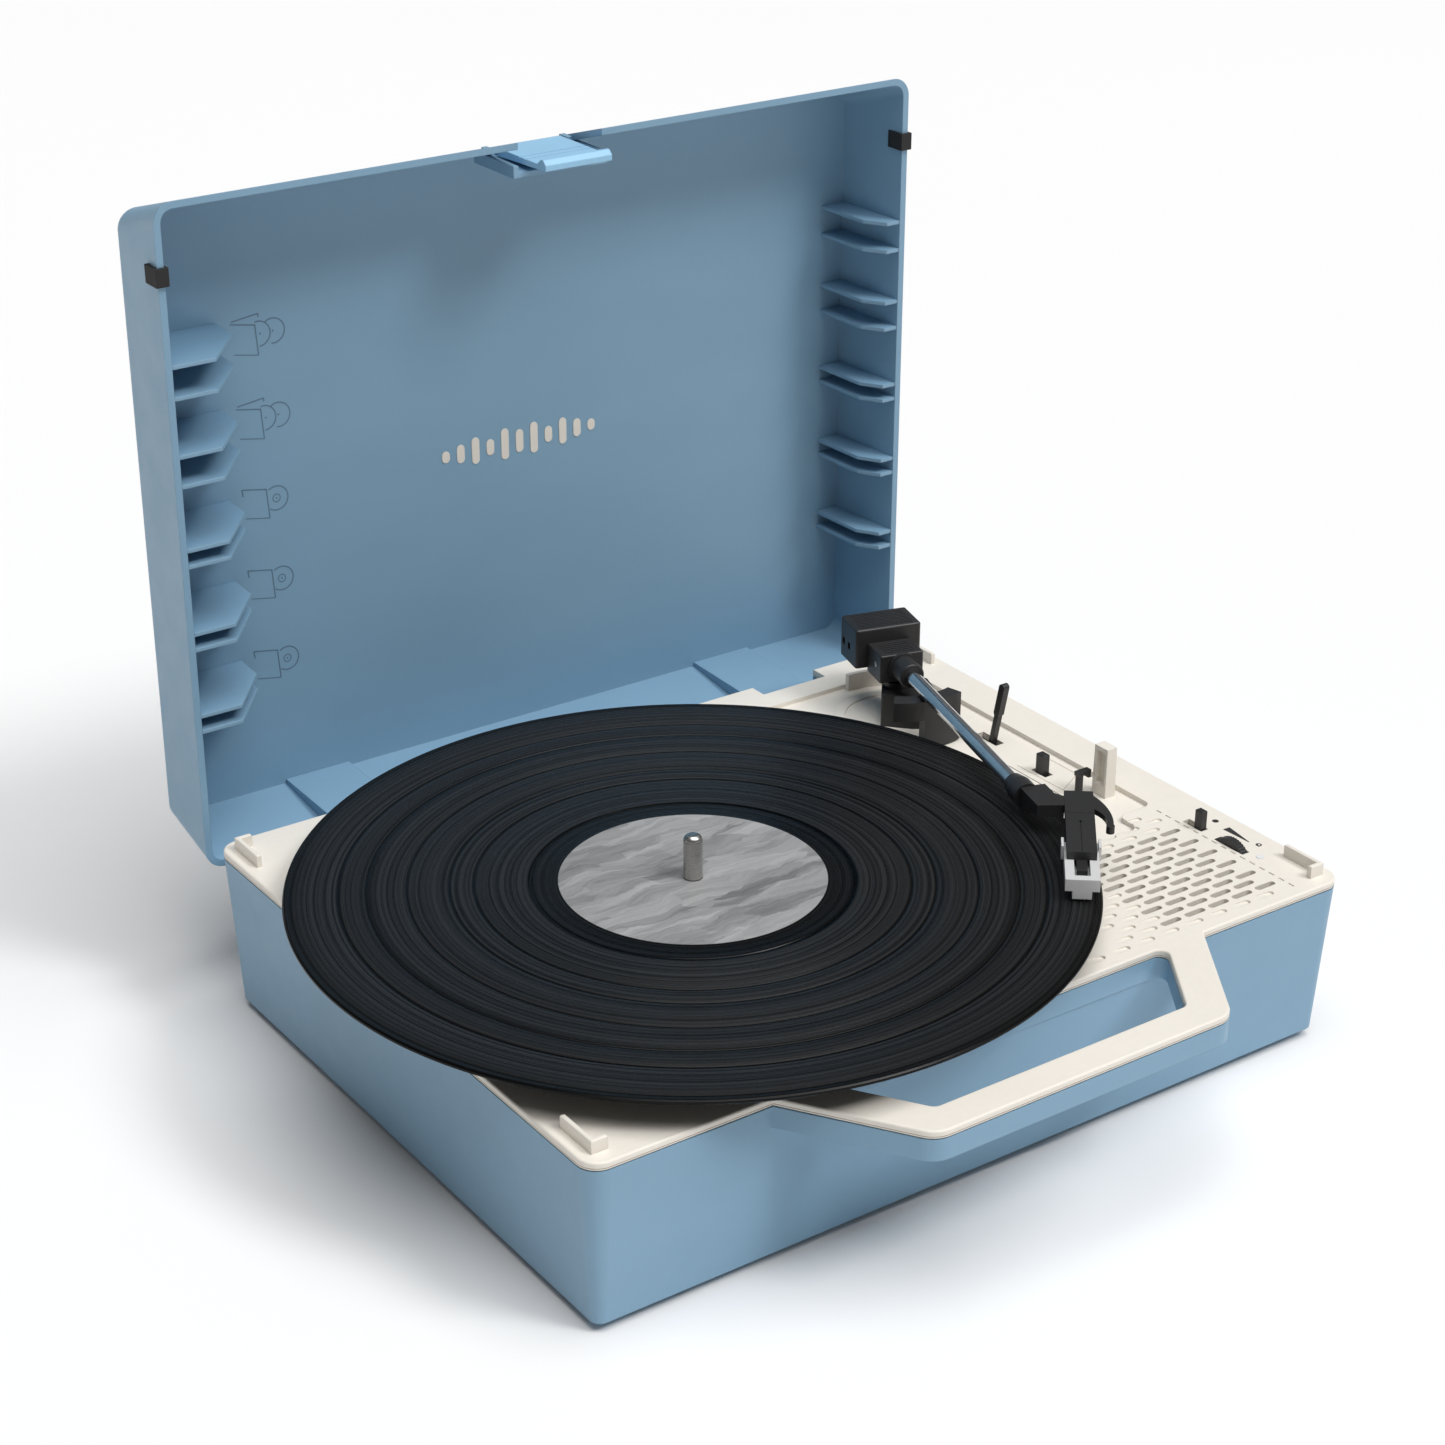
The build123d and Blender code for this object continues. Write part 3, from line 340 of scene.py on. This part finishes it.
line_cream = moulded("engraved_cream", (0.5, 0.42, 0.34, 1), 0.5, grain_mm=0.005, wear=0.0, round_mm=0.1)


def coat(obj, material):
    if obj.data.materials:
        for index in range(len(obj.data.materials)):
            obj.data.materials[index] = material
    else:
        obj.data.materials.append(material)


for part in frame["record"]["subparts"]:
    coat(nodes[part["node"]], finishes[part["material_slot"]])
coat(nodes["deck"], deck_cream)
coat(nodes["latch"], latch_blue)


# ---------------------------------------------------------------- pieces
EAST, NORTH, UP = Vector((1, 0, 0)), Vector((0, 1, 0)), Vector((0, 0, 1))
SHARP_DEG = 35


def piece(name, mesh_data, body, material):
    obj = bpy.data.objects.new(name, mesh_data)
    bpy.context.scene.collection.objects.link(obj)
    mesh_data.shade_smooth()
    mesh_data.set_sharp_from_angle(angle=math.radians(SHARP_DEG))
    coat(obj, material)
    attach(obj, body)
    return obj


def lathe(name, profile_mm, centre, body, material, segments=360):
    """A profile of (radius, height) in mm turned about a vertical axis through centre."""
    work = bmesh.new()
    rings = []
    for radius, height in profile_mm:
        ring = []
        for step in range(segments):
            turn = 2 * math.pi * step / segments
            offset = Vector((radius * math.cos(turn), radius * math.sin(turn), height)) * MM
            ring.append(work.verts.new(centre + offset))
        rings.append(ring)
    for inner, outer in zip(rings, rings[1:] + rings[:1]):
        for step in range(segments):
            after = (step + 1) % segments
            work.faces.new((inner[step], outer[step], outer[after], inner[after]))
    bmesh.ops.recalc_face_normals(work, faces=work.faces)
    mesh_data = bpy.data.meshes.new(name)
    work.to_mesh(mesh_data)
    work.free()
    return piece(name, mesh_data, body, material)


def raised(name, outlines, origin, along, up, height_mm, body, material, sink_mm=0.2):
    """Flat outlines in mm, drawn on a surface at origin with axes along and up, standing proud of it."""
    out = along.cross(up).normalized()
    work = bmesh.new()
    for outline in outlines:
        low, high = [], []
        for x, y in outline:
            spot = origin + along * x * MM + up * y * MM
            low.append(work.verts.new(spot - out * sink_mm * MM))
            high.append(work.verts.new(spot + out * height_mm * MM))
        work.faces.new(high)
        work.faces.new(list(reversed(low)))
        for index in range(len(outline)):
            after = (index + 1) % len(outline)
            work.faces.new((low[index], low[after], high[after], high[index]))
    bmesh.ops.recalc_face_normals(work, faces=work.faces)
    mesh_data = bpy.data.meshes.new(name)
    work.to_mesh(mesh_data)
    work.free()
    return piece(name, mesh_data, body, material)


def round_outline(x, y, radius, steps=28):
    return [
        (x + radius * math.cos(2 * math.pi * k / steps), y + radius * math.sin(2 * math.pi * k / steps))
        for k in range(steps)
    ]


def bar_outline(x, low, high, width, steps=8):
    half = width / 2
    top = [(x + half * math.cos(math.pi * k / steps), high - half + half * math.sin(math.pi * k / steps))
           for k in range(steps + 1)]
    foot = [(x - half * math.cos(math.pi * k / steps), low + half - half * math.sin(math.pi * k / steps))
            for k in range(steps + 1)]
    return top + foot


def stroke(x0, y0, x1, y1, width):
    length = math.hypot(x1 - x0, y1 - y0)
    dx, dy = (y0 - y1) / length * width / 2, (x1 - x0) / length * width / 2
    return [(x0 + dx, y0 + dy), (x0 - dx, y0 - dy), (x1 - dx, y1 - dy), (x1 + dx, y1 + dy)]


def arc_strokes(x, y, radius, start_deg, end_deg, width, steps=22):
    """One outline for an arc of the given width."""
    outer, inner = [], []
    for k in range(steps + 1):
        turn = math.radians(start_deg + (end_deg - start_deg) * k / steps)
        outer.append((x + (radius + width / 2) * math.cos(turn), y + (radius + width / 2) * math.sin(turn)))
        inner.append((x + (radius - width / 2) * math.cos(turn), y + (radius - width / 2) * math.sin(turn)))
    return outer + inner[::-1]


# The record, turned with its bead, lead-in, track gaps and run-out ring.
TOP, BOTTOM = 84.45, 82.55
profile = [(3.65, TOP - 0.02), (50.2, TOP - 0.02), (50.6, TOP - 0.14), (59.2, TOP - 0.14), (59.5, TOP - 0.4),
           (60.7, TOP - 0.4), (61.0, TOP - 0.06)]
for gap in TRACK_GAPS:
    profile += [
        (gap - 0.6, TOP - 0.06), (gap - 0.35, TOP - 0.2), (gap + 0.35, TOP - 0.2), (gap + 0.6, TOP - 0.06),
    ]
profile += [(147.2, TOP - 0.06), (147.6, TOP - 0.16), (148.8, TOP - 0.14), (149.4, TOP), (150.4, TOP - 0.05),
            (RIM - 0.1, TOP - 0.5), (RIM, TOP - 0.95), (RIM - 0.1, TOP - 1.4), (150.4, BOTTOM + 0.05),
            (149.4, BOTTOM), (3.65, BOTTOM)]
record_disc = lathe("record_disc", profile, DISC, "turntable", finishes["vinyl"])
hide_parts("record")

# Generic ornament inside the lid: a row of rounded bars, like sound levels.
FACE = case(0, PANEL_Y, 0)
bars = []
for index, tall in enumerate((5, 8, 11.5, 7, 13.5, 10, 13.5, 7, 11.5, 8, 5)):
    x = (index - 5) * 7.0
    bars.append(bar_outline(x, 187.2 - tall / 2, 187.2 + tall / 2, 3.6))
raised("lid_ornament", bars, FACE, EAST, UP, 0.25, "lid", finishes["cream_plastic"])


def sleeve_sign(x, z, double):
    """A drawn record sleeve with one or two discs beside it, as outlines in mm."""
    w = 0.52
    lines = [
        stroke(x, z, x + 10.4, z - 1.9, w),
        stroke(x + 10.4, z - 1.7, x + 11.2, z - 14.1, w),
        stroke(x + 0.9, z - 12.2, x + 11.2, z - 14.1, w * 0.8),
    ]
    if double:
        lines.append(stroke(x + 0.6, z + 0.9, x + 12.0, z + 2.4, w))
        lines.append(stroke(x + 12.0, z + 2.4, x + 12.0, z + 1.0, w))
        lines.append(arc_strokes(x + 11.7, z - 5.7, 5.0, 105, -88, w))
        lines.append(arc_strokes(x + 17.8, z - 5.5, 5.0, 128, -100, w))
        lines.append(round_outline(x + 12.4, z - 5.7, 0.4, 10))
        lines.append(round_outline(x + 17.8, z - 5.5, 0.4, 10))
    else:
        lines.append(stroke(x, z, x + 0.4, z - 3.0, w))
        lines.append(arc_strokes(x + 14.6, z - 6.4, 5.0, 128, -128, w))
        lines.append(arc_strokes(x + 14.6, z - 6.4, 1.6, 0, 359, w * 0.8))
        lines.append(round_outline(x + 14.6, z - 6.4, 0.4, 10))
    return lines


signs = []
for z, double in ((260.1, True), (226.1, True), (193.0, False), (158.9, False), (124.0, False)):
    signs += sleeve_sign(-126.3, z, double)
# Painted shade: the signs are faint ridges whose dark-blue colour stands in for the shade inside engraved
# lines.
raised("sleeve_signs", signs, FACE, EAST, UP, 0.06, "lid", groove_shade_blue)

# Printed marks beside the switches: a dot, a rising wedge and a small ring.
DECK = case(0, 0, DECK_Z)
marks = [
    round_outline(162.6, -72.2, 1.35),
    [(160.1, -79.0), (163.4, -79.3), (161.2, -92.6), (160.8, -92.6)],
    arc_strokes(162.5, -96.4, 0.95, 0, 359, 0.55),
    stroke(162.5, -95.4, 161.4, -97.6, 0.45),
]
raised("deck_marks", marks, DECK, EAST, NORTH, 0.05, "case", ink)

# The outline of the cover plate in the arm's recess.
plate = [
    stroke(133.0, 13.5, 133.6, -14.5, 0.45),
    stroke(147.5, 9.7, 147.8, -6.8, 0.45),
    stroke(133.6, -14.5, 147.8, -6.8, 0.35),
]
RECESS = case(0, 0, DECK_Z - RECESS_DEPTH)
raised("plate_lines", plate, RECESS, EAST, NORTH, 0.03, "case", line_cream, sink_mm=0.1)


# ---------------------------------------------------------------- camera, floor and light
def sun(name, towards, angle_deg, strength):
    """A soft, far light that comes from the direction towards, seen angle_deg wide."""
    data = bpy.data.lights.new(name, "SUN")
    data.angle = math.radians(angle_deg)
    data.energy = strength
    lamp = bpy.data.objects.new(name, data)
    lamp.rotation_euler = Vector(towards).to_track_quat("Z", "Y").to_euler()
    bpy.context.scene.collection.objects.link(lamp)


def make_floor():
    work = bmesh.new()
    bmesh.ops.create_grid(work, x_segments=4, y_segments=4, size=30.0)
    mesh_data = bpy.data.meshes.new("floor")
    work.to_mesh(mesh_data)
    work.free()
    floor = bpy.data.objects.new("floor", mesh_data)
    bpy.context.scene.collection.objects.link(floor)
    paint = Paint("floor_paint")
    tone = paint.spread(paint.noise(0.8, 2), 0.3, 0.7, 0.995, 1.005)
    coat(floor, paint.finish(paint.shade((0.86, 0.86, 0.86, 1), tone), 0.9))


def make_camera():
    azimuth, elevation, roll = 0.6117, 0.4477, 0.0021
    level = math.cos(elevation)
    forward = Vector((math.sin(azimuth) * level, math.cos(azimuth) * level, -math.sin(elevation)))
    right = Vector((math.cos(azimuth), -math.sin(azimuth), 0))
    up = right.cross(forward)
    right, up = right * math.cos(roll) + up * math.sin(roll), up * math.cos(roll) - right * math.sin(roll)
    data = bpy.data.cameras.new("camera")
    data.lens, data.sensor_width = 72.905, 36.0
    camera = bpy.data.objects.new("camera", data)
    turn = Matrix((right, up, -forward)).transposed().to_4x4()
    camera.matrix_world = Matrix.Translation(case(-585.58, -799.62, 605.49)) @ turn
    bpy.context.scene.collection.objects.link(camera)
    bpy.context.scene.camera = camera


make_camera()
make_floor()
sun("overhead", (0.05, -0.24, 0.97), 55, 2.45)
sun("key", (0.36, -0.55, 0.75), 16, 1.05)
world = bpy.data.worlds.new("studio")
world.use_nodes = True
world.node_tree.nodes["Background"].inputs["Color"].default_value = (1, 1, 1, 1)
world.node_tree.nodes["Background"].inputs["Strength"].default_value = 0.16
bpy.context.scene.world = world
bpy.context.scene.view_settings.view_transform = "Standard"
